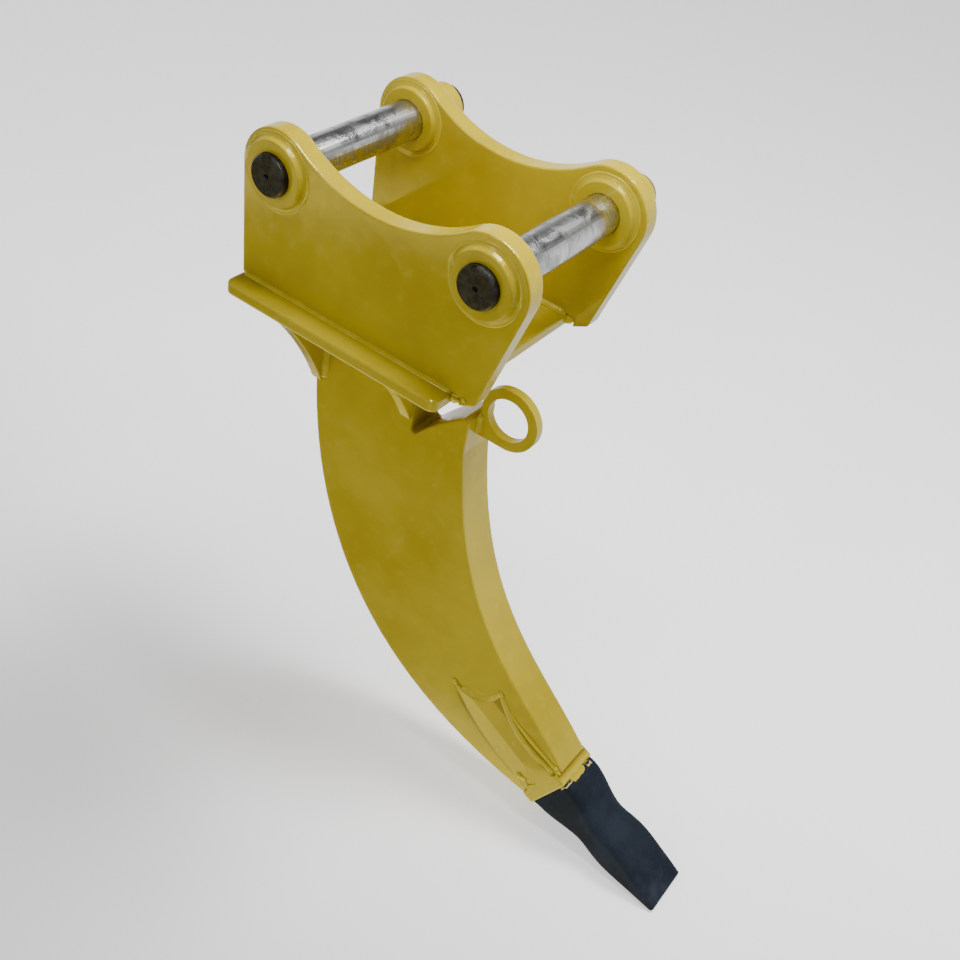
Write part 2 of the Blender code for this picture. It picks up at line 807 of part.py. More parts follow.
MOUTH_HALF = SHANK_FACE + CHEEK_THICKNESS
TIP_HALF = SHANK_FACE + CHEEK_TIP_THICKNESS
RIDGE_HALF = MOUTH_HALF - CHEEK_RIDGE_DROP

adapter = plate("adapter", cheek_outline(), 2 * MOUTH_HALF)
adapter.matrix_world = JOINT @ Matrix.Rotation(math.radians(90), 4, "X")


def cheek_section(x, half, fall, rise):
    """Both cheek faces at x as one closed section, each with its ridge at the given rise."""
    edge = half - fall
    reach = CHEEK_FALL_REACH
    return [
        (x, half, rise),
        (x, edge, rise + reach),
        (x, -edge, rise + reach),
        (x, -half, rise),
        (x, -edge, rise - reach),
        (x, edge, rise - reach),
    ]


taper = lofted(
    "cheek_taper",
    [
        cheek_section(0.030, MOUTH_HALF + 0.002, 0.0, CHEEK_RIDGE_MOUTH),
        cheek_section(-COLLAR_BAND, MOUTH_HALF + 0.002, 0.0, CHEEK_RIDGE_MOUTH),
        cheek_section(-COLLAR_BAND - 0.004, MOUTH_HALF, 0.0, CHEEK_RIDGE_MOUTH),
        cheek_section(-COLLAR_BAND - 0.030, RIDGE_HALF, CHEEK_FALL, CHEEK_RIDGE_MOUTH),
        cheek_section(-CHEEK_LOWER_TIP, TIP_HALF, CHEEK_FALL, CHEEK_RIDGE_TAIL),
        cheek_section(-CHEEK_LOWER_TIP - 0.050, TIP_HALF, CHEEK_FALL, CHEEK_RIDGE_TAIL),
    ],
    CUTTERS,
)
taper.matrix_world = JOINT
as_cutter(taper, "cheek_taper")
boolean(adapter, taper, "INTERSECT")
edge_round(adapter, ADAPTER_EDGE)
slot_length = CHEEK_LOWER_TIP + 0.060
slot = block(
    "shank_slot",
    (slot_length, SHANK_THICKNESS + 2 * FIT, 0.300),
    (-COLLAR_STOP - slot_length / 2, 0, 0),
)
slot.matrix_world = JOINT
as_cutter(slot, "shank_slot")
boolean(adapter, slot)
core = as_cutter(nose("nose_core", 0.0, 0.008, CUTTERS), "nose_core")
boolean(adapter, core, "UNION")
finish(adapter, "adapter", paint("adapter"))


# Tooth: a chisel lofted through its stations, hollow over the nose

STATIONS = (
    (0.0, TOOTH_HEEL_RISE, TOOTH_HEEL_HEIGHT, TOOTH_HEEL_WIDTH),
    (TOOTH_SHOULDER, TOOTH_SHOULDER_RISE, TOOTH_SHOULDER_HEIGHT, TOOTH_HEEL_WIDTH),
    (TOOTH_WAIST, TOOTH_WAIST_RISE, TOOTH_WAIST_HEIGHT, TOOTH_WAIST_WIDTH),
    (TOOTH_BLADE, TOOTH_BLADE_RISE, TOOTH_BLADE_HEIGHT, TOOTH_BLADE_WIDTH),
    (TOOTH_BEVEL, TOOTH_BEVEL_RISE, TOOTH_BEVEL_HEIGHT, TOOTH_BEVEL_WIDTH),
    (TOOTH_LENGTH, TOOTH_EDGE_RISE, TOOTH_EDGE_HEIGHT, TOOTH_EDGE_WIDTH),
)


def along_stations(x, column):
    """The stations' value at x, with slopes that stay flat where the value turns."""
    xs = [row[0] for row in STATIONS]
    ys = [row[column] for row in STATIONS]
    runs = [(b - a) for a, b in zip(xs, xs[1:])]
    slopes = [(b - a) / run for a, b, run in zip(ys, ys[1:], runs)]
    tangents = [slopes[0]]
    for one, two in zip(slopes, slopes[1:]):
        tangents.append(0.0 if one * two <= 0 else 2 * one * two / (one + two))
    tangents.append(slopes[-1])
    i = max(0, min(len(runs) - 1, sum(x >= edge for edge in xs[1:-1])))
    t = (x - xs[i]) / runs[i]
    return (
        (2 * t**3 - 3 * t**2 + 1) * ys[i]
        + (t**3 - 2 * t**2 + t) * runs[i] * tangents[i]
        + (3 * t**2 - 2 * t**3) * ys[i + 1]
        + (t**3 - t**2) * runs[i] * tangents[i + 1]
    )


def tooth_corner(x):
    """The radius of the long corners, widest at the waist."""
    if x < TOOTH_WAIST:
        return TOOTH_CORNER_HEEL + (TOOTH_CORNER_WAIST - TOOTH_CORNER_HEEL) * x / TOOTH_WAIST
    share = (x - TOOTH_WAIST) / (TOOTH_LENGTH - TOOTH_WAIST)
    return TOOTH_CORNER_WAIST + (TOOTH_CORNER_EDGE - TOOTH_CORNER_WAIST) * share


def tooth_sections():
    count = 22
    found = []
    for i in range(count + 1):
        x = FIT + (TOOTH_LENGTH - FIT - TOOTH_EDGE_ROUND) * i / count
        found.append(
            rounded_section(
                x,
                along_stations(x, 1),
                along_stations(x, 2),
                along_stations(x, 3),
                tooth_corner(x),
            )
        )
    for share in (0.55, 1.0):
        x = TOOTH_LENGTH - TOOTH_EDGE_ROUND * (1 - share)
        inset = TOOTH_EDGE_ROUND * (1 - math.sqrt(1 - 0.8 * share * share))
        found.append(
            rounded_section(
                x,
                along_stations(x, 1),
                along_stations(x, 2) - 2 * inset,
                along_stations(x, 3) - 2 * inset,
                TOOTH_CORNER_EDGE,
            )
        )
    return found


tooth = lofted("tooth", tooth_sections())
tooth.matrix_world = JOINT
pocket = as_cutter(nose("tooth_pocket", FIT, 0.020, CUTTERS), "tooth_pocket")
boolean(tooth, pocket)
finish(tooth, "tooth", material("tooth_steel", (0.022, 0.024, 0.028), 0.38, 0.1))

bpy.context.view_layer.update()
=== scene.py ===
"""Looks for the ripper shank tooth: painted steel, bare pins, weld beads, floor, light and camera.
Metres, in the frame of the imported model: the origin is the centre of the front pin."""

import math

import bmesh
import bpy
from mathutils import Matrix, Vector, noise


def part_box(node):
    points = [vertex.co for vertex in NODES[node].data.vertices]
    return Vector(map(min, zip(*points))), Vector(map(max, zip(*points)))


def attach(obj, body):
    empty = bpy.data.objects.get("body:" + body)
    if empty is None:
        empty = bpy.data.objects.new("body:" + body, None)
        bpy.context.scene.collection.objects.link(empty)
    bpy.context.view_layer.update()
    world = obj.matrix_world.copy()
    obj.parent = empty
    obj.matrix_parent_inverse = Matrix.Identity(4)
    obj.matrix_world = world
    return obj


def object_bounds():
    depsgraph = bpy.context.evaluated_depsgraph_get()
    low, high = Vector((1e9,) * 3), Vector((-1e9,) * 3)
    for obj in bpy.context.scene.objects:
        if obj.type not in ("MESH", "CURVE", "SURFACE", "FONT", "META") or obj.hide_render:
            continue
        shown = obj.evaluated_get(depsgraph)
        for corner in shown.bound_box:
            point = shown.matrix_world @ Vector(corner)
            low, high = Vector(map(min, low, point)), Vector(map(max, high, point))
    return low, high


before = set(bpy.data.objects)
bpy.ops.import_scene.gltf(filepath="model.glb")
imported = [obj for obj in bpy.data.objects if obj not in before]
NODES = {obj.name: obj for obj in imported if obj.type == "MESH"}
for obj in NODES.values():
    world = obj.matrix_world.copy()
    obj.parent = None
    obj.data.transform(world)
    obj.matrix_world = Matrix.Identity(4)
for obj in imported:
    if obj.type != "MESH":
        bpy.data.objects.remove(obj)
CAD_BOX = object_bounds()

# Places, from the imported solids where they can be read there
PLATE_LOW, PLATE_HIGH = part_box("base_plate")
EAR_LOW, EAR_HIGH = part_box("ear_left")
SHANK_LOW, SHANK_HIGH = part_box("shank")
EYE_LOW, EYE_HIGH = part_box("lifting_eye")
COLLAR_LOW, COLLAR_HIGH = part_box("collar_front")
PLATE_TOP = PLATE_HIGH.z
PLATE_BOTTOM = PLATE_LOW.z
EAR_OUT = -EAR_LOW.y
EAR_IN = -EAR_HIGH.y
SHANK_FACE = SHANK_HIGH.y
NECK_REAR = SHANK_LOW.x
NECK_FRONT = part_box("gusset_front_left")[1].x
REAR_GUSSET_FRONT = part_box("gusset_rear_left")[1].x
FRONT_GUSSET_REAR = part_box("gusset_front_left")[0].x
BOSS_PROUD = 0.008  # of a boss's face over the ear's
BOSS_FOOT = 0.0455  # radius where a boss runs into the ear
COLLAR_FOOT = 0.0340  # radius where a collar runs into the boss's face
EYE_FOOT_TOP = -0.262
SIDES = (("left", -1), ("right", 1))
PINS = (("rear", -0.290), ("front", 0.0))

# The joint of adapter and tooth: a frame whose x runs forward along the tooth, and places in it
JOINT = Matrix.Translation((0.2115, 0, -0.801)) @ Matrix.Rotation(math.radians(26.0), 4, "Y")
TURNED = JOINT.to_3x3()
CHEEK_MOUTH = -0.020
CHEEK_LOWER_START = (CHEEK_MOUTH, -0.031)
CHEEK_LOWER_TIP = (-0.212, -0.003)
CHEEK_LOWER_SAG = 0.0165
CHEEK_UPPER_START = (CHEEK_MOUTH, 0.0385)
CHEEK_UPPER_TIP = (-0.158, 0.061)
CHEEK_UPPER_SAG = 0.0175
CHEEK_TAIL_HOLLOW = 0.022
CHEEK_MIDDLE = Vector((-0.100, 0.012))
LIP_BACK = -0.016
LIP_TOP = 0.0435
SKIN_X = 0.0008  # where the paint runs on from the lip to the tooth
SKIN_ENDS = (-0.0200, 0.0115)
SHANK_END_BOTTOM = -0.0434
CHEEK_RISE = 0.0068  # of the cheek's face over the shank's, near the mouth
CAP_PASS = (  # the second weld pass above each cheek, from the tail to the mouth
    (-0.1300, 0.0478), (-0.1232, 0.0462), (-0.1050, 0.0448), (-0.0850, 0.0442),
    (-0.0640, 0.0443), (-0.0430, 0.0450), (-0.0250, 0.0455),
)
BEAD_ENDS = (  # lumps where the beads stop: along, out of the shank's face, up, and their size
    (-0.2105, 0.0010, -0.0035, (0.0050, 0.0032, 0.0040)),
    (-0.1580, 0.0010, 0.0605, (0.0046, 0.0038, 0.0046)),
    (-0.0260, 0.0008, 0.0462, (0.0044, 0.0034, 0.0042)),
    (-0.0200, 0.0006, 0.0428, (0.0056, 0.0036, 0.0050)),
)
CORNER_RUN = (  # a short weld run over each cheek's lower corner
    (-0.0330, -0.0215), (-0.0255, -0.0235), (-0.0235, -0.0150), (-0.0225, -0.0060),
)
CORNER_DROPS = (  # the drops that the run begins with: along, up, and their size
    (-0.0448, -0.0240, (0.0056, 0.0040, 0.0040)), (-0.0365, -0.0190, (0.0048, 0.0038, 0.0042)),
)
DROP_SINK = 0.0008
TOE_DROPS_X = PLATE_HIGH.x + 0.012
TOE_DROPS_Z = PLATE_TOP - 0.006
TOE_DROPS = ((-0.0015, 0.0010), (0.0055, 0.0060), (-0.0090, 0.0015))  # forward and up from there
TOE_DROP_OUT = 0.0006
TOE_DROP_SIZE = (0.0030, 0.0017, 0.0026)

X = Vector((1, 0, 0))
Y = Vector((0, 1, 0))
Z = Vector((0, 0, 1))


# Materials


class Nodes:
    """A node tree, with short calls for the nodes used here."""

    def __init__(self, tree, coordinate):
        self.tree = tree
        self.place = self.node("ShaderNodeTexCoord").outputs[coordinate]

    def node(self, kind, **settings):
        made = self.tree.nodes.new(kind)
        for key, value in settings.items():
            setattr(made, key, value)
        return made

    def wire(self, value, socket):
        if isinstance(value, bpy.types.NodeSocket):
            self.tree.links.new(value, socket)
        else:
            socket.default_value = value

    def math(self, operation, one, two=0.0, three=0.0):
        made = self.node("ShaderNodeMath", operation=operation)
        for value, socket in zip((one, two, three), made.inputs):
            self.wire(value, socket)
        return made.outputs[0]

    def texture(self, kind, scale, stretch, shift):
        placed = self.node("ShaderNodeMapping")
        self.wire(self.place, placed.inputs["Vector"])
        placed.inputs["Scale"].default_value = stretch
        placed.inputs["Location"].default_value = shift
        made = self.node(kind)
        self.wire(placed.outputs[0], made.inputs["Vector"])
        made.inputs["Scale"].default_value = scale
        return made

    def noise(self, scale, detail, roughness, stretch=(1, 1, 1), shift=(0, 0, 0), distortion=0.0):
        made = self.texture("ShaderNodeTexNoise", scale, stretch, shift)
        made.inputs["Detail"].default_value = detail
        made.inputs["Roughness"].default_value = roughness
        made.inputs["Distortion"].default_value = distortion
        return made.outputs["Fac"]

    def cells(self, scale, shift):
        made = self.texture("ShaderNodeTexVoronoi", scale, (1, 1, 1), shift)
        return made.outputs["Distance"]

    def span(self, value, low, high, to_low=0.0, to_high=1.0, smooth=True):
        """Runs from to_low to to_high while value runs from low to high, and stays there beyond."""
        made = self.node("ShaderNodeMapRange")
        if smooth:
            made.interpolation_type = "SMOOTHSTEP"
        for number, socket in zip((value, low, high, to_low, to_high), made.inputs):
            self.wire(number, socket)
        return made.outputs[0]

    def mix(self, share, one, two):
        made = self.node("ShaderNodeMix", data_type="RGBA")
        self.wire(share, made.inputs[0])
        self.wire(one, made.inputs[6])
        self.wire(two, made.inputs[7])
        return made.outputs[2]

    def axis(self, source, which):
        made = self.node("ShaderNodeSeparateXYZ")
        self.wire(source, made.inputs[0])
        return made.outputs[which]

    def bump(self, height, distance, strength, normal=None):
        made = self.node("ShaderNodeBump")
        made.inputs["Strength"].default_value = strength
        made.inputs["Distance"].default_value = distance
        self.wire(height, made.inputs["Height"])
        if normal is not None:
            self.wire(normal, made.inputs["Normal"])
        return made.outputs[0]

    def rounded(self, radius):
        made = self.node("ShaderNodeBevel", samples=4)
        made.inputs["Radius"].default_value = radius
        return made.outputs[0]

    def hollows(self, distance):
        """1 in the open and less in corners, with what lies within the distance."""
        made = self.node("ShaderNodeAmbientOcclusion", samples=6)
        made.inputs["Distance"].default_value = distance
        return made.outputs["AO"]


class Look(Nodes):
    """A node material with one principled shader."""

    def __init__(self, name, metallic=0.0):
        self.material = bpy.data.materials.new(name)
        self.material.use_nodes = True
        super().__init__(self.material.node_tree, "Object")
        self.shader = self.tree.nodes["Principled BSDF"]
        self.shader.inputs["Metallic"].default_value = metallic

    def gloss(self, level, tint):
        self.shader.inputs["Specular IOR Level"].default_value = level
        self.shader.inputs["Specular Tint"].default_value = tint

    def set(self, **values):
        for key, value in values.items():
            self.wire(value, self.shader.inputs[key.replace("_", " ")])
        return self.material


# Colours, linear
PAINT = (0.445, 0.343, 0.017, 1)
PAINT_DEEP = (0.370, 0.274, 0.012, 1)
PAINT_PALE = (0.495, 0.398, 0.028, 1)
# The next colour is painted shade in corners, creases and below the shank's end, and also the dust
# specks
GRIME_AND_SHADE = (0.15, 0.095, 0.006, 1)
PAINT_CHIP = (0.56, 0.46, 0.17, 1)
# The next colour is a painted highlight along the adapter's lip
LIP_HIGHLIGHT = (0.62, 0.52, 0.10, 1)
ENAMEL_TINT = (1.0, 0.90, 0.40, 1)
PIN_DULL = (0.50, 0.50, 0.49, 1)
PIN_BRIGHT = (0.72, 0.72, 0.70, 1)
PIN_OIL = (0.24, 0.24, 0.23, 1)
OXIDE_DARK = (0.038, 0.037, 0.034, 1)
OXIDE_PALE = (0.075, 0.073, 0.068, 1)
BOLT_DARK = (0.02, 0.02, 0.021, 1)
BOLT_PALE = (0.07, 0.067, 0.063, 1)
DIP_DARK = (0.0130, 0.0165, 0.0235, 1)
DIP_PALE = (0.0200, 0.0260, 0.0370, 1)
DIP_MOTTLE = (0.026, 0.031, 0.042, 1)
DIP_WORN = (0.046, 0.055, 0.074, 1)
DIP_TINT = (0.85, 0.93, 1.0, 1)


def arc(start, end, sag):
    """Centre and radius of the arc from start to end that stands off their line by sag."""
    a, b = Vector(start), Vector(end)
    way = b - a
    left = Vector((-way.y, way.x)).normalized()
    half = way.length / 2
    radius = (half * half + sag * sag) / (2 * sag)
    return (a + b) / 2 + left * (sag - radius), radius


def yellow_paint(name, shift, cut_edges=False, round_edges=0.0015, matt=0.0, corner_shade_and_grime=0.30,
                 lip=False, crease=False):
    """Sprayed gloss enamel: soft clouds, orange peel, painted shade and grime in the corners, and a
    few specks of dust.

    Cut edges get the drag lines of a flame cut on all faces but the two broad ones."""
    look = Look(name)
    look.gloss(0.45, ENAMEL_TINT)
    clouds = look.noise(7.0, 3.0, 0.55, shift=shift)
    mottle = look.noise(55.0, 4.0, 0.6, shift=shift)
    fine = look.noise(420.0, 2.0, 0.5, shift=shift)
    colour = look.mix(look.span(clouds, 0.32, 0.70), PAINT_DEEP, PAINT)
    colour = look.mix(look.span(mottle, 0.50, 0.78, 0.0, 0.45), colour, PAINT_PALE)
    colour = look.mix(look.span(fine, 0.60, 0.80, 0.0, 0.20), colour, PAINT_DEEP)
    # Painted shade with grime: darker in the corners that the ambient occlusion finds, made uneven
    # by the mottle
    corners = look.span(look.hollows(0.018), 0.30, 0.92, 1.0, 0.0)
    shade_and_grime = look.math("MULTIPLY", corners, look.span(mottle, 0.30, 0.62, 0.35, 0.95))
    colour = look.mix(look.math("MULTIPLY", shade_and_grime, corner_shade_and_grime), colour, GRIME_AND_SHADE)
    if crease:
        colour = shaded_crease(look, colour)
    if lip:
        colour = lip_shade_and_highlight(look, colour)
    specks = look.span(look.cells(160.0, shift), 0.0, 0.085, 1.0, 0.0)
    specks = look.math("MULTIPLY", specks, look.span(clouds, 0.50, 0.72, 0.0, 0.55))
    colour = look.mix(specks, colour, GRIME_AND_SHADE)
    rough = look.span(mottle, 0.25, 0.80, 0.10 + matt, 0.20 + matt)
    rough = look.math("ADD", rough, look.math("MULTIPLY", corners, 0.16))
    waves = look.noise(38.0, 2.0, 0.5, shift=shift)
    orange_peel = look.noise(620.0, 2.0, 0.55, shift=shift)
    normal = look.bump(waves, 0.00016, 0.45, look.rounded(round_edges))
    if cut_edges:
        normal_out = look.node("ShaderNodeNewGeometry").outputs["Normal"]
        sideways = look.math("ABSOLUTE", look.axis(normal_out, 1))
        on_edge = look.span(sideways, 0.35, 0.75, 1.0, 0.0)
        drag = look.noise(330.0, 2.0, 0.6, stretch=(1, 0.06, 1), shift=shift)
        normal = look.bump(look.math("MULTIPLY", drag, on_edge), 0.0005, 0.5, normal)
    normal = look.bump(orange_peel, 0.000022, 0.45, normal)
    return look.set(Base_Color=colour, Roughness=rough, Normal=normal)


def in_joint(look):
    """Coordinates of the joint frame, whose x runs forward along the tooth."""
    placed = look.node("ShaderNodeMapping", vector_type="POINT")
    turn = look.node("ShaderNodeVectorMath", operation="SUBTRACT")
    look.wire(look.place, turn.inputs[0])
    turn.inputs[1].default_value = JOINT.to_translation()
    look.wire(turn.outputs[0], placed.inputs["Vector"])
    placed.inputs["Rotation"].default_value = JOINT.inverted().to_euler()
    return placed.outputs[0]


# Ends of the soft steps that bound the painted shade in the crease, in metres, and what they run
# from and to
CREASE_SHADE_INNER = (-0.0045, -0.0010)
CREASE_SHADE_OUTER = (0.0068, 0.0125, 0.62, 0.0)
CREASE_SHADE_TAIL = (-0.216, -0.180)
CREASE_SHADE_MOUTH = (-0.060, -0.035, 1.0, 0.0)
CREASE_SHADE_SIDES = (0.026, 0.029)


def shaded_crease(look, colour):
    """Painted shade along the lower edge of each cheek, where it meets the shank."""
    place = in_joint(look)
    along, across, height = (look.axis(place, i) for i in range(3))
    centre, radius = arc(CHEEK_LOWER_START, CHEEK_LOWER_TIP, CHEEK_LOWER_SAG)
    aside = look.math("POWER", look.math("SUBTRACT", along, centre.x), 2.0)
    over = look.math("POWER", look.math("SUBTRACT", height, centre.y), 2.0)
    off = look.math("SUBTRACT", look.math("SQRT", look.math("ADD", aside, over)), abs(radius))
    crease_shade = look.math("MULTIPLY", look.span(off, *CREASE_SHADE_INNER), look.span(off, *CREASE_SHADE_OUTER))
    crease_shade = look.math("MULTIPLY", crease_shade, look.span(along, *CREASE_SHADE_TAIL))
    crease_shade = look.math("MULTIPLY", crease_shade, look.span(along, *CREASE_SHADE_MOUTH))
    crease_shade = look.math("MULTIPLY", crease_shade, look.span(look.math("ABSOLUTE", across), *CREASE_SHADE_SIDES))
    return look.mix(crease_shade, colour, GRIME_AND_SHADE)


# The same for the painted shade and painted highlight on the adapter's lip
LIP_SIDES = (0.0335, 0.0375, 1.0, 0.0)
LIP_UP = (0.036, 0.041)
LIP_SHADE = (-0.0128, -0.0100, 1.0, 0.0)
LIP_HIGHLIGHT_BAND = (-0.0085, -0.0060)
LIP_RIM_HIGHLIGHT = (-0.0034, -0.0022)


def lip_shade_and_highlight(look, colour):
    """The adapter's lip: painted shade below the shank's end, then a painted highlight up to the
    rim.
    """
    place = in_joint(look)
    along, across, height = (look.axis(place, i) for i in range(3))
    uneven = look.math("MULTIPLY_ADD", look.noise(120.0, 3.0, 0.6), 0.0024, -0.0012)
    along = look.math("ADD", along, uneven)
    inside = look.span(look.math("ABSOLUTE", across), *LIP_SIDES)
    on_top = look.math("MULTIPLY", look.span(height, *LIP_UP), inside)
    shade = look.math("MULTIPLY", look.span(along, *LIP_SHADE), on_top)
    colour = look.mix(look.math("MULTIPLY", shade, 0.58), colour, GRIME_AND_SHADE)
    # Painted highlight: a paler band over the lip and a paler line along its rim
    band = look.math("MULTIPLY", look.span(along, *LIP_HIGHLIGHT_BAND), on_top)
    painted_highlight = look.math("MAXIMUM", band, look.span(along, *LIP_RIM_HIGHLIGHT))
    return look.mix(look.math("MULTIPLY", painted_highlight, 0.40), colour, LIP_HIGHLIGHT)


def weld_paint(name, shift, crease_shade=0.0):
    """The same enamel over weld metal, finely grained: painted shade in its hollows, and over all
    of a crease bead.
    """
    look = Look(name)
    look.gloss(0.25 if crease_shade else 1.0, ENAMEL_TINT)
    mottle = look.noise(70.0, 4.0, 0.6, shift=shift)
    grains = look.noise(700.0, 2.0, 0.5, shift=shift)
    colour = look.mix(look.span(mottle, 0.35, 0.72), PAINT, PAINT_PALE)
    # Painted shade: darker in the hollows that the ambient occlusion finds, and over all of a
    # crease bead
    corners = look.span(look.hollows(0.008), 0.25, 0.85, 1.0, 0.0)
    colour = look.mix(look.math("MULTIPLY_ADD", corners, 0.03, crease_shade), colour, GRIME_AND_SHADE)
    rough = look.span(mottle, 0.25, 0.80, 0.09, 0.17)
    normal = look.bump(grains, 0.00004, 0.5)
    return look.set(Base_Color=colour, Roughness=rough, Normal=normal)


END_EDGE = 0.001  # over which the oxide at a pin's end begins


def pin_steel(name, shift, near_end, far_end):
    """Ground steel with smears of preserving oil, and black oxide beyond near_end and far_end."""
    look = Look(name, metallic=1.0)
    across = look.axis(look.place, 1)
    ends = look.math(
        "MAXIMUM", look.span(across, near_end + END_EDGE, near_end),
        look.span(across, far_end - END_EDGE, far_end),
    )
    rings = look.noise(60.0, 3.0, 0.6, stretch=(0.4, 14.0, 0.4), shift=shift)
    smears = look.noise(26.0, 4.0, 0.65, shift=shift, distortion=1.2)
    bright = look.mix(look.span(rings, 0.3, 0.7), PIN_DULL, PIN_BRIGHT)
    oil = look.span(smears, 0.42, 0.66)
    bright = look.mix(look.math("MULTIPLY", oil, 0.7), bright, PIN_OIL)
    mottle = look.noise(120.0, 4.0, 0.6, shift=shift)
    oxide = look.mix(look.span(mottle, 0.35, 0.7), OXIDE_DARK, OXIDE_PALE)
    colour = look.mix(ends, bright, oxide)
    rough = look.span(smears, 0.35, 0.7, 0.16, 0.38)
    rougher = look.math("MULTIPLY", ends, look.span(mottle, 0.3, 0.7, 0.10, 0.26))
    rough = look.math("ADD", rough, rougher)
    normal = look.bump(rings, 0.0002, 0.35, look.rounded(0.0006))
    turned = look.noise(500.0, 2.0, 0.5, shift=shift)
    normal = look.bump(look.math("MULTIPLY", turned, ends), 0.0003, 0.4, normal)
    return look.set(Base_Color=colour, Roughness=rough, Normal=normal)


def black_steel(name, shift):
    """Blackened bolts."""
    look = Look(name, metallic=0.7)
    mottle = look.noise(150.0, 4.0, 0.6, shift=shift)
    colour = look.mix(look.span(mottle, 0.35, 0.7), BOLT_DARK, BOLT_PALE)
    rough = look.span(mottle, 0.3, 0.7, 0.32, 0.5)
    normal = look.bump(mottle, 0.0003, 0.5, look.rounded(0.0008))
    return look.set(Base_Color=colour, Roughness=rough, Normal=normal)


# Where the yellow coat runs onto the tooth: middle, half width and soft edge, in metres
COAT_LOBE = (-0.005, 0.013, 0.006)
CHIP_ALONG = (0.0052, 0.0014, 0.0005)
CHIP_ACROSS = (0.0215, 0.0042, 0.0015)
THIN_ALONG = (0.0034, 0.0006, 0.0005)
THIN_ACROSS = (-0.0310, 0.0080, 0.0030)
LOBE_REACH = 0.0062
COAT_REACH = 0.0004
TIP_WEAR = (0.150, 0.2175, 0.0, 0.6)
TOOTH_TOP = (0.030, 0.036)


def tooth_paint(name, shift):
    """Thin dark dip paint on forged steel, with the ragged end of the yellow coat at its mouth."""
    look = Look(name)
    look.gloss(0.05, DIP_TINT)
    place = in_joint(look)
    along = look.axis(place, 0)
    clouds = look.noise(16.0, 4.0, 0.6, shift=shift)
    mottle = look.noise(130.0, 4.0, 0.62, shift=shift)
    dark = look.mix(look.span(clouds, 0.35, 0.68), DIP_DARK, DIP_PALE)
    dark = look.mix(look.span(mottle, 0.52, 0.75, 0.0, 0.5), dark, DIP_MOTTLE)
    worn = look.math("MULTIPLY", look.span(along, *TIP_WEAR), look.span(clouds, 0.30, 0.72))
    dark = look.mix(worn, dark, DIP_WORN)
    ragged = look.noise(150.0, 5.0, 0.65, shift=shift)
    across = look.axis(place, 1)
    on_top = look.span(look.axis(place, 2), *TOOTH_TOP)

    def band(value, middle, half, soft):
        off = look.math("ABSOLUTE", look.math("SUBTRACT", value, middle))
        return look.span(off, half, half + soft, 1.0, 0.0)

    ripple = look.math("MULTIPLY_ADD", ragged, 0.009, -0.0045)
    lobe = look.math("MULTIPLY", band(across, *COAT_LOBE), LOBE_REACH)
    reach = look.math("ADD", look.math("ADD", lobe, COAT_REACH), ripple)
    coat = look.span(look.math("SUBTRACT", along, reach), -0.0002, 0.0002, 1.0, 0.0, smooth=False)
    wavy = look.math("ADD", along, ripple)
    chips = look.math("MULTIPLY", band(wavy, *CHIP_ALONG), band(across, *CHIP_ACROSS))
    thin = look.math("MULTIPLY", band(wavy, *THIN_ALONG), band(across, *THIN_ACROSS))
    chips = look.math("MAXIMUM", chips, thin)
    coat = look.math("MULTIPLY", look.math("MAXIMUM", coat, chips), on_top)
    colour = look.mix(coat, dark, look.mix(chips, PAINT, PAINT_CHIP))
    rough = look.span(mottle, 0.30, 0.75, 0.55, 0.75)
    rough = look.math("SUBTRACT", rough, look.math("MULTIPLY", coat, 0.15))
    normal = look.bump(clouds, 0.0007, 0.4, look.rounded(0.0030))
    normal = look.bump(mottle, 0.0004, 0.5, normal)
    normal = look.bump(coat, 0.0004, 0.6, normal)
    return look.set(Base_Color=colour, Roughness=rough, Normal=normal)


def wear(node, material):
    """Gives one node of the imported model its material."""
    data = NODES[node].data
    data.materials.clear()
    data.materials.append(material)
    for polygon in data.polygons:
        polygon.material_index = 0


NOISE_STEP = (0.37, 0.61, 0.23)  # of the noise from one node to the next
PIN_NEAR_END = -EAR_IN - BOSS_PROUD
PIN_FAR_END = COLLAR_HIGH.y - 0.004

for index, name in enumerate(sorted(NODES)):
    shift = tuple(index * step for step in NOISE_STEP)
    if name.startswith("pin_"):
        wear(name, pin_steel(name, shift, PIN_NEAR_END, PIN_FAR_END))
    elif name.startswith("lock_bolt_"):
        wear(name, black_steel(name, shift))
    elif name == "tooth":
        wear(name, tooth_paint(name, shift))
    elif name == "adapter":
        wear(name, yellow_paint(name, shift, round_edges=0.0040, matt=0.10, corner_shade_and_grime=0.12,
                                lip=True, crease=True))
    elif name == "shank":
        wear(name, yellow_paint(name, shift, cut_edges=True, matt=-0.08, corner_shade_and_grime=0.20, crease=True))
    elif name.startswith("ear_"):
        wear(name, yellow_paint(name, shift, cut_edges=True, matt=-0.05))
    else:
        wear(name, yellow_paint(name, shift))


# Weld beads

PITCH = 0.0031  # from one ripple to the next
STEP = 0.00062  # from one ring of points to the next
SEGMENTS = 8  # of a ring's outer side
SWEEP_START = -7  # degrees, a little inside the first wall
FILLET_SWEEP = 104
HALF_SWEEP = 194
FILLET_SINK = 0.0007  # of a ring's inner point behind the walls
HALF_SINK = 0.0012
SWAY = 45.0  # changes of the bead's width per metre: slow, quick, and of the ripples' spacing
QUIVER = 210.0
JITTER = 120.0
BOSS_LEG = 0.0030
TOE_LEG = 0.0122
GUSSET_LEG = 0.0068
NECK_LEG = 0.008
EYE_LEG = 0.0062
CAP_LEG = 0.0040
CORNER_LEG = 0.0038
LIP_LEG = 0.0060
SKIN_LEG = 0.0017
COLLAR_LEG = 0.0042
CORNER_WAY = Vector((0.5, 0, 0.87))
START_IN = 0.001  # of a bead's start from the corner that it would stick out of


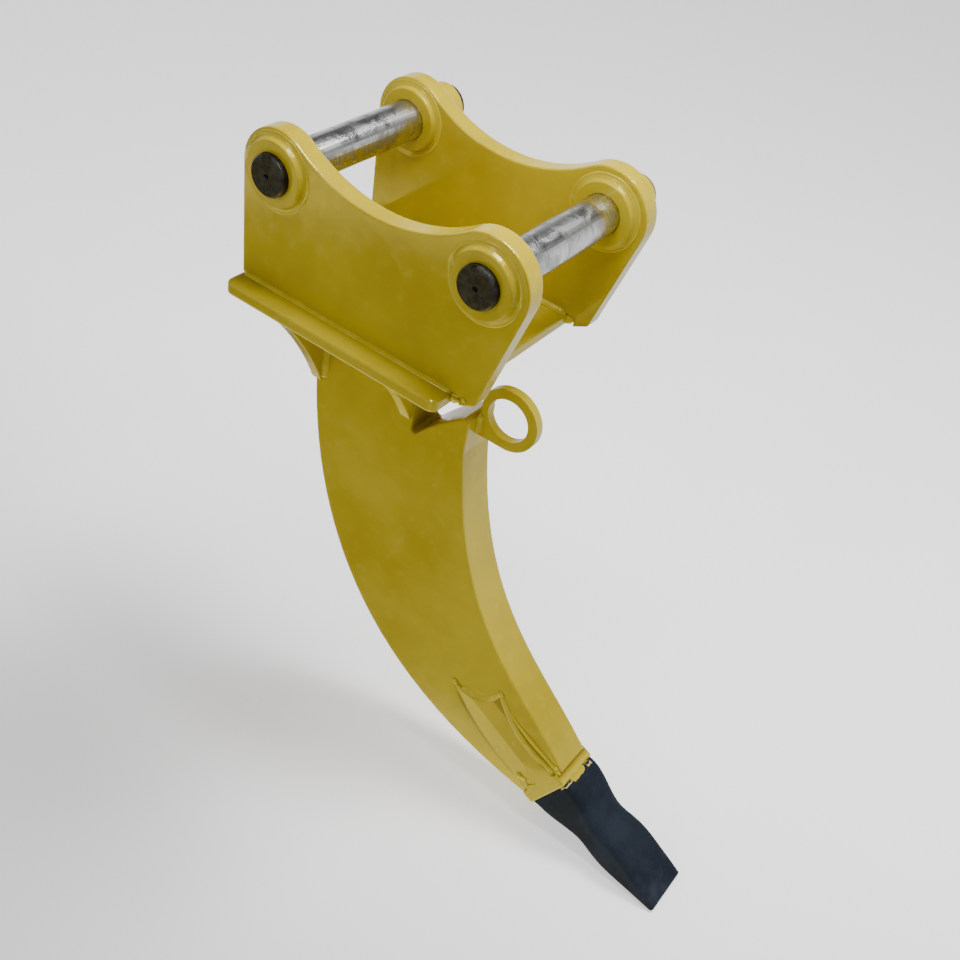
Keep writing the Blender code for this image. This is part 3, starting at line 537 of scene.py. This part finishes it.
def resampled(points, step):
    """The line through the points, in equal steps of about the given length."""
    lengths = [0.0]
    for one, two in zip(points, points[1:]):
        lengths.append(lengths[-1] + (two - one).length)
    count = max(4, round(lengths[-1] / step))
    found = []
    i = 0
    for k in range(count + 1):
        want = lengths[-1] * k / count
        while i < len(points) - 2 and lengths[i + 1] < want:
            i += 1
        run = lengths[i + 1] - lengths[i]
        found.append(points[i].lerp(points[i + 1], (want - lengths[i]) / run if run else 0.0))
    return found, lengths[-1] / count


def bead(points, one, two, leg, seed, full=0.42, ripple=1.0, closed=False, end=0.8,
         swell=None, half=False):
    """A rippled bead along a line. one and two give, at each point, the ways along its walls.

    A half bead lies on one wall: one is the way across it and two stands up from the wall.
    full goes from 0, a flat face between the legs, to 1, a round one. A bead tapers at its
    ends within end times its leg, and swell scales it by the share of the way it has gone."""
    line, step = resampled([Vector(p) for p in points], STEP)
    if closed:
        line = line[:-1]
    shape = bmesh.new()
    rings = []
    count = len(line)
    sweep = HALF_SWEEP if half else FILLET_SWEEP
    for k, point in enumerate(line):
        s = k * step
        a = one(point) if callable(one) else one
        b = two(point) if callable(two) else two
        sway = noise.noise(Vector((s * SWAY, seed * 3.7, 0.3)))
        size = leg * (1.0 + (0.05 + 0.08 * ripple) * sway)
        size *= 1.0 + 0.05 * ripple * noise.noise(Vector((s * QUIVER, seed, 7.1)))
        if swell is not None:
            size *= swell(k / (count - 1))
        if not closed:
            near = min(k, count - 1 - k) * step / (leg * end)
            size *= math.sqrt(max(0.12, min(1.0, near)))
        jitter = 0.35 * noise.noise(Vector((s * JITTER, seed * 1.9, 4.4)))
        inside = point - b * HALF_SINK if half else point - (a + b) * FILLET_SINK
        ring = [shape.verts.new(inside)]
        for i in range(SEGMENTS + 1):
            turn = math.radians(SWEEP_START + sweep * i / SEGMENTS)
            c, d = math.cos(turn), math.sin(turn)
            chord = 1.0 if half else 1.0 / max(0.55, abs(c) + abs(d))
            inner = max(0.0, d if half else math.sin(2 * turn))
            phase = s / PITCH + jitter - 0.42 * inner
            wave = abs(math.sin(math.pi * phase)) ** 0.75 - 0.55
            rise = 1 + 0.075 * ripple * wave * max(0.25, inner)
            reach = size * ((1 - full) * chord + full) * rise
            ring.append(shape.verts.new(point + (a * c + b * d) * reach))
        rings.append(ring)
    pairs = list(zip(rings, rings[1:]))
    if closed:
        pairs.append((rings[-1], rings[0]))
    for first, second in pairs:
        for i in range(len(first)):
            j = (i + 1) % len(first)
            shape.faces.new((first[i], first[j], second[j], second[i]))
    if not closed:
        shape.faces.new(rings[0])
        shape.faces.new(rings[-1])
    bmesh.ops.recalc_face_normals(shape, faces=shape.faces)
    return shape


def lump(place, size, seed):
    """A drop of weld metal, uneven on every side."""
    shape = bmesh.new()
    bmesh.ops.create_icosphere(shape, subdivisions=3, radius=1.0)
    for vert in shape.verts:
        uneven = 1.0 + 0.22 * noise.noise(vert.co * 1.3 + Vector((seed, 0.4, 2.0)))
        uneven += 0.08 * noise.noise(vert.co * 3.6 + Vector((0.2, seed, 1.0)))
        vert.co = Vector(place) + Vector(c * d for c, d in zip(vert.co, size)) * uneven
    return shape


WELDS = {}


def gather(group, shape):
    """Adds one bead to a group of beads that becomes one piece."""
    WELDS.setdefault(group, []).append(shape)


def bowed(start, end, sag, count=24):
    """Points along the arc from start to end."""
    a, b = Vector(start), Vector(end)
    centre, radius = arc(start, end, sag)
    found = []
    first = math.atan2(a.y - centre.y, a.x - centre.x)
    last = math.atan2(b.y - centre.y, b.x - centre.x)
    turn = (last - first + math.pi) % (2 * math.pi) - math.pi
    for i in range(count + 1):
        now = first + turn * i / count
        found.append(Vector((centre.x + abs(radius) * math.cos(now),
                             centre.y + abs(radius) * math.sin(now))))
    return found


def straight(a, b):
    return [Vector(a), Vector(b)]


def circle(centre, radius, count=96):
    turns = (2 * math.pi * i / count for i in range(count + 1))
    return [centre + Vector((radius * math.cos(t), 0, radius * math.sin(t))) for t in turns]


def away_from(centre):
    """The way straight out from a centre, for a bead that runs round it."""
    return lambda point: (point - centre).normalized()


def off_cheek(path, placed):
    """The way out over a cheek's edge, in the shank's plane, at the nearest of its points."""
    known = []
    for i, p in enumerate(path):
        before, after = path[max(0, i - 1)], path[min(len(path) - 1, i + 1)]
        way = (after - before).normalized()
        normal = Vector((way.y, -way.x))
        if normal.dot(p - CHEEK_MIDDLE) < 0:
            normal = -normal
        known.append((placed[i], TURNED @ Vector((normal.x, 0, normal.y))))
    return lambda point: min(known, key=lambda pair: (pair[0] - point).length)[1]


def on_shank(sign, out, points):
    """Points of the joint frame, given along and up, that stand out from one face of the shank."""
    return [JOINT @ Vector((x, sign * (SHANK_FACE + out), z)) for x, z in points]


# The ears' feet and the bosses
FOOT_REAR = PLATE_LOW.x + 0.004
FOOT_FRONT = PLATE_HIGH.x - START_IN
TOE_X = PLATE_HIGH.x - 0.0005
for side, sign in SIDES:
    outer, inner = sign * EAR_OUT, sign * EAR_IN
    group = "weld_ear_" + side
    for y, way, leg, full, ripple, seed in (
        (outer, Y * sign, 0.0042, 0.02, 0.15, 11), (inner, -Y * sign, 0.0062, 0.42, 0.9, 23)
    ):
        foot = straight((FOOT_REAR, y, PLATE_TOP), (FOOT_FRONT, y, PLATE_TOP))
        gather(group, bead(foot, Z, way, leg, seed + sign, full=full, ripple=ripple))
    toe = [(TOE_X, y, PLATE_TOP - START_IN) for y in (inner, outer)]
    gather(group, bead(toe, X, -Z, TOE_LEG, 31 + sign, full=1.08, ripple=1.6, end=0.15))
    for i, (x, z) in enumerate(TOE_DROPS):
        place = (TOE_DROPS_X + x, outer + sign * TOE_DROP_OUT, TOE_DROPS_Z + z)
        gather(group, lump(place, TOE_DROP_SIZE, 3.1 * i + sign))
    for where, x in PINS:
        for y, way, seed in ((outer, Y * sign, 131), (inner, -Y * sign, 137)):
            centre = Vector((x, y, 0))
            gather(f"weld_boss_{where}_{side}",
                   bead(circle(centre, BOSS_FOOT), away_from(centre), way * 0.28, BOSS_LEG,
                        seed + x, full=1.0, ripple=0.5, closed=True, half=True))

# Gussets and neck
for where in ("rear", "front"):
    for side, sign in SIDES:
        low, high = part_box(f"gusset_{where}_{side}")
        reach = max(abs(low.y), abs(high.y))
        group = f"weld_gusset_{where}_{side}"
        inner, outer = sign * (SHANK_FACE + START_IN), sign * (reach - 0.002)
        faces = ((low.x, -X), (high.x, X))
        seed = 40 + (5 if where == "rear" else 0) + sign
        for x, way in faces:
            under = straight((x, inner, PLATE_BOTTOM), (x, outer, PLATE_BOTTOM))
            gather(group, bead(under, -Z, way, GUSSET_LEG, seed))
            seed += 3
        x, way = faces[1] if where == "rear" else faces[0]
        down = [(x, sign * SHANK_FACE, z) for z in (PLATE_BOTTOM - 0.004, low.z + 0.002)]
        gather(group, bead(down, Y * sign, way, GUSSET_LEG, seed))

for sign in (-1, 1):
    neck = [(x, sign * SHANK_FACE, PLATE_BOTTOM) for x in (REAR_GUSSET_FRONT, FRONT_GUSSET_REAR)]
    gather("weld_neck", bead(neck, -Z, Y * sign, NECK_LEG, 61 + sign))
for x, way, seed in ((NECK_REAR, -X, 66), (NECK_FRONT, X, 67)):
    neck = straight((x, -SHANK_FACE, PLATE_BOTTOM), (x, SHANK_FACE, PLATE_BOTTOM))
    gather("weld_neck", bead(neck, -Z, way, NECK_LEG, seed))

# Lifting eye
for sign in (-1, 1):
    foot = [(EYE_LOW.x, sign * EYE_HIGH.y, z) for z in (EYE_LOW.z + START_IN, EYE_FOOT_TOP)]
    gather("weld_lifting_eye", bead(foot, X, Y * sign, EYE_LEG, 71 + sign, full=0.6))

# Adapter: the edges of both cheeks, the second pass, the corner's run, drops and lumps
for side, sign in SIDES:
    lower = bowed(CHEEK_LOWER_START, CHEEK_LOWER_TIP, CHEEK_LOWER_SAG)
    tail = bowed(CHEEK_LOWER_TIP, CHEEK_UPPER_TIP, -CHEEK_TAIL_HOLLOW, 16)
    upper = bowed(CHEEK_UPPER_TIP, CHEEK_UPPER_START, -CHEEK_UPPER_SAG)
    for path, seed, group, leg, rise, ripple, full, swell in (
        (lower, 81, "weld_crease_", 0.0062, 0.40, 0.15, 0.30, lambda share: 1.0 - 0.6 * share),
        (tail, 83, "weld_adapter_", 0.0075, 0.45, 0.10, 0.0, None),
        (upper, 85, "weld_adapter_", 0.0056, 1.0, 0.75, 0.60, lambda share: 0.80 + 0.55 * share),
    ):
        placed = on_shank(sign, 0.0, path)
        gather(group + side, bead(placed, Y * sign * rise, off_cheek(path, placed), leg,
                                  seed + sign, full=full, ripple=ripple, swell=swell))
    group = "weld_adapter_" + side
    gather(group, bead(on_shank(sign, 0.0, CAP_PASS), TURNED @ Z, Y * sign * 0.75, CAP_LEG,
                       87 + sign, full=1.0, ripple=0.55, half=True,
                       swell=lambda share: 0.55 + 0.45 * min(1.0, share * 2.5)))
    gather(group, bead(on_shank(sign, CHEEK_RISE, CORNER_RUN), TURNED @ CORNER_WAY,
                       Y * sign * 0.8, CORNER_LEG, 88 + sign, full=1.0, ripple=2.0, half=True))
    for x, z, size in CORNER_DROPS:
        place = JOINT @ Vector((x, sign * (SHANK_FACE + CHEEK_RISE - DROP_SINK), z))
        gather(group, lump(place, size, 70.0 * x + sign))
    for x, out, z, size in BEAD_ENDS:
        place = JOINT @ Vector((x, sign * (SHANK_FACE + out), z))
        gather(group, lump(place, size, 90.0 * x + sign))

lip = [JOINT @ Vector((LIP_BACK, y, SHANK_END_BOTTOM)) for y in (-SHANK_FACE, SHANK_FACE)]
gather("weld_adapter_lip",
       bead(lip, TURNED @ -Z * 0.24, TURNED @ -X, LIP_LEG, 93, full=0.2, ripple=0.5))
skin = [JOINT @ Vector((SKIN_X, y, LIP_TOP)) for y in SKIN_ENDS]
gather("weld_adapter_lip",
       bead(skin, TURNED @ Z, TURNED @ -X * 1.8, SKIN_LEG, 95, full=0.3, ripple=0.8))

# Collars
for where, x in PINS:
    centre = Vector((x, COLLAR_LOW.y, 0))
    gather("weld_collar_" + where,
           bead(circle(centre, COLLAR_FOOT, 72), Y, away_from(centre), COLLAR_LEG, 97 + x,
                full=0.5, closed=True))

# Painted shade over all of the beads in the cheeks' crease
CREASE_SHADE = 0.72
for group, shapes in WELDS.items():
    whole = bmesh.new()
    for shape in shapes:
        loose = bpy.data.meshes.new("loose")
        shape.to_mesh(loose)
        whole.from_mesh(loose)
        shape.free()
        bpy.data.meshes.remove(loose)
    mesh = bpy.data.meshes.new(group)
    whole.to_mesh(mesh)
    whole.free()
    mesh.shade_smooth()
    piece = bpy.data.objects.new(group, mesh)
    bpy.context.scene.collection.objects.link(piece)
    crease_shade = CREASE_SHADE if group.startswith("weld_crease") else 0.0
    mesh.materials.append(weld_paint(group, (len(bpy.data.materials) * 0.19, 0.3, 0.7), crease_shade))
    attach(piece, "root")


# Floor, light and camera

FLOOR = CAD_BOX[0].z - 0.0005  # just clear of the tooth's tip
FLOOR_SIZE = 60.0
FLOOR_DARK = (0.86, 0.86, 0.86, 1)
FLOOR_PALE = (0.89, 0.89, 0.89, 1)
FLOOR_GLOW = (-1.0, 0.5, 0.05, 0.95)  # rises from the near side to the far side of the object
FAR_GLOW = (-12.0, -4.0, 0.40, 0.0)  # far behind the camera, for the faces that look that way

# Strength and colour of the studio's parts
GLOW_UNDER = 3.0
GLOW_OVER = 4.8
GLOW_SHADE = 0.10
GLOW_FRONT = 0.15
GLOW_BEHIND = 1.3
GLOW_HORIZON = 1.1
GLOW_ABOVE = 0.12
NEUTRAL = (0.96, 0.98, 1.0, 1)
WARM = (1.0, 0.88, 0.25, 1)

# Where they end: x, y and z of the direction in which they are seen
LEAN = 0.144  # the bands below the horizon climb by this towards -x
BEHIND = (-0.20, 0.30)
UNDER = (-0.826, -0.812, 1.0, 0.0)
OVER_FOOT = (-0.573, -0.555)
OVER_HEAD = (-0.543, -0.523, 1.0, 0.0)
SHADE_TO_BEHIND = (-0.74, -0.66, GLOW_SHADE, GLOW_BEHIND)
HORIZON_TO_ABOVE = (0.14, 0.48, GLOW_HORIZON, GLOW_ABOVE)
HORIZON = (-0.06, -0.02)


def floor_material():
    look = Look("floor")
    grain = look.noise(3.0, 3.0, 0.5)
    colour = look.mix(look.span(grain, 0.3, 0.7), FLOOR_DARK, FLOOR_PALE)
    depth = look.axis(look.place, 1)
    glow = look.math("ADD", look.span(depth, *FLOOR_GLOW), look.span(depth, *FAR_GLOW))
    look.shader.inputs["Emission Color"].default_value = (1, 1, 1, 1)
    return look.set(Base_Color=colour, Roughness=0.9, Emission_Strength=glow)


shape = bmesh.new()
bmesh.ops.create_grid(shape, x_segments=2, y_segments=2, size=FLOOR_SIZE)
mesh = bpy.data.meshes.new("floor")
shape.to_mesh(mesh)
shape.free()
floor = bpy.data.objects.new("floor", mesh)
floor.location = (0, 0, FLOOR)
bpy.context.scene.collection.objects.link(floor)
mesh.materials.append(floor_material())
floor.visible_glossy = False  # so that gloss shows the studio below the horizon

world = bpy.data.worlds.new("studio")
bpy.context.scene.world = world
world.use_nodes = True


def surroundings():
    """A soft studio. Below the horizon only reflections see it: pale behind, dim in front,
    with one warm band, and bright and warm underneath."""
    sky = Nodes(world.node_tree, "Generated")
    aside, depth, height = (sky.axis(sky.place, i) for i in range(3))
    slope = sky.math("MULTIPLY_ADD", aside, LEAN, height)
    behind = sky.span(depth, *BEHIND)
    under = sky.span(slope, *UNDER)
    over = sky.math("MULTIPLY", sky.span(slope, *OVER_FOOT), sky.span(slope, *OVER_HEAD))
    front = sky.span(under, 0.0, 1.0, GLOW_FRONT, GLOW_UNDER, smooth=False)
    front = sky.math("MAXIMUM", front, sky.math("MULTIPLY", over, GLOW_OVER))
    back = sky.span(height, *SHADE_TO_BEHIND)
    low = sky.span(behind, 0.0, 1.0, front, back, smooth=False)
    high = sky.span(height, *HORIZON_TO_ABOVE)
    shader = world.node_tree.nodes["Background"]
    sky.wire(sky.span(height, *HORIZON, low, high), shader.inputs["Strength"])
    warm = sky.math("MULTIPLY", sky.math("MAXIMUM", under, over), sky.math("SUBTRACT", 1.0, behind))
    sky.wire(sky.mix(warm, NEUTRAL, WARM), shader.inputs["Color"])


surroundings()


def softbox(name, place, aim, size, power, colour=(1, 1, 1)):
    """A lamp of width and height size, at place, that shines towards aim with power in watts."""
    data = bpy.data.lights.new(name, "AREA")
    data.shape = "RECTANGLE"
    data.size, data.size_y = size
    data.energy = power
    data.color = colour
    lamp = bpy.data.objects.new(name, data)
    bpy.context.scene.collection.objects.link(lamp)
    lamp.location = place
    lamp.rotation_mode = "QUATERNION"
    lamp.rotation_quaternion = (Vector(aim) - Vector(place)).to_track_quat("-Z", "Y")


MIDDLE = (0.0, 0.0, -0.35)
softbox("key", (0.62, 1.05, 2.35), MIDDLE, (1.0, 1.0), 108)
softbox("top", (-0.1, -0.5, 2.1), MIDDLE, (1.2, 1.2), 12)
softbox("fill", (-1.05, -2.45, 1.1), MIDDLE, (0.35, 1.4), 13, (1.0, 0.92, 0.90))
softbox("bracket", (0.04, -0.08, 0.66), (0.0, 0.13, -0.05), (0.4, 0.10), 6.4)

# The camera was solved from the photo: its place, and its own axes in the part's frame
CAMERA_PLACE = (0.53887, -1.05889, 0.64430)
CAMERA_RIGHT = Vector((0.79645, 0.58218, 0.16351))
CAMERA_UP = Vector((-0.48562, 0.45466, 0.74664))
CAMERA_BACK = Vector((0.36033, -0.67406, 0.64483))
CAMERA_LENS = 45.035

camera_data = bpy.data.cameras.new("camera")
camera_data.sensor_width = 36.0
camera_data.lens = CAMERA_LENS
camera_data.clip_start = 0.05
camera_data.clip_end = 60.0
camera = bpy.data.objects.new("camera", camera_data)
bpy.context.scene.collection.objects.link(camera)
turn = Matrix((CAMERA_RIGHT, CAMERA_UP, CAMERA_BACK)).transposed()
camera.matrix_world = Matrix.Translation(CAMERA_PLACE) @ turn.to_4x4()
bpy.context.scene.camera = camera
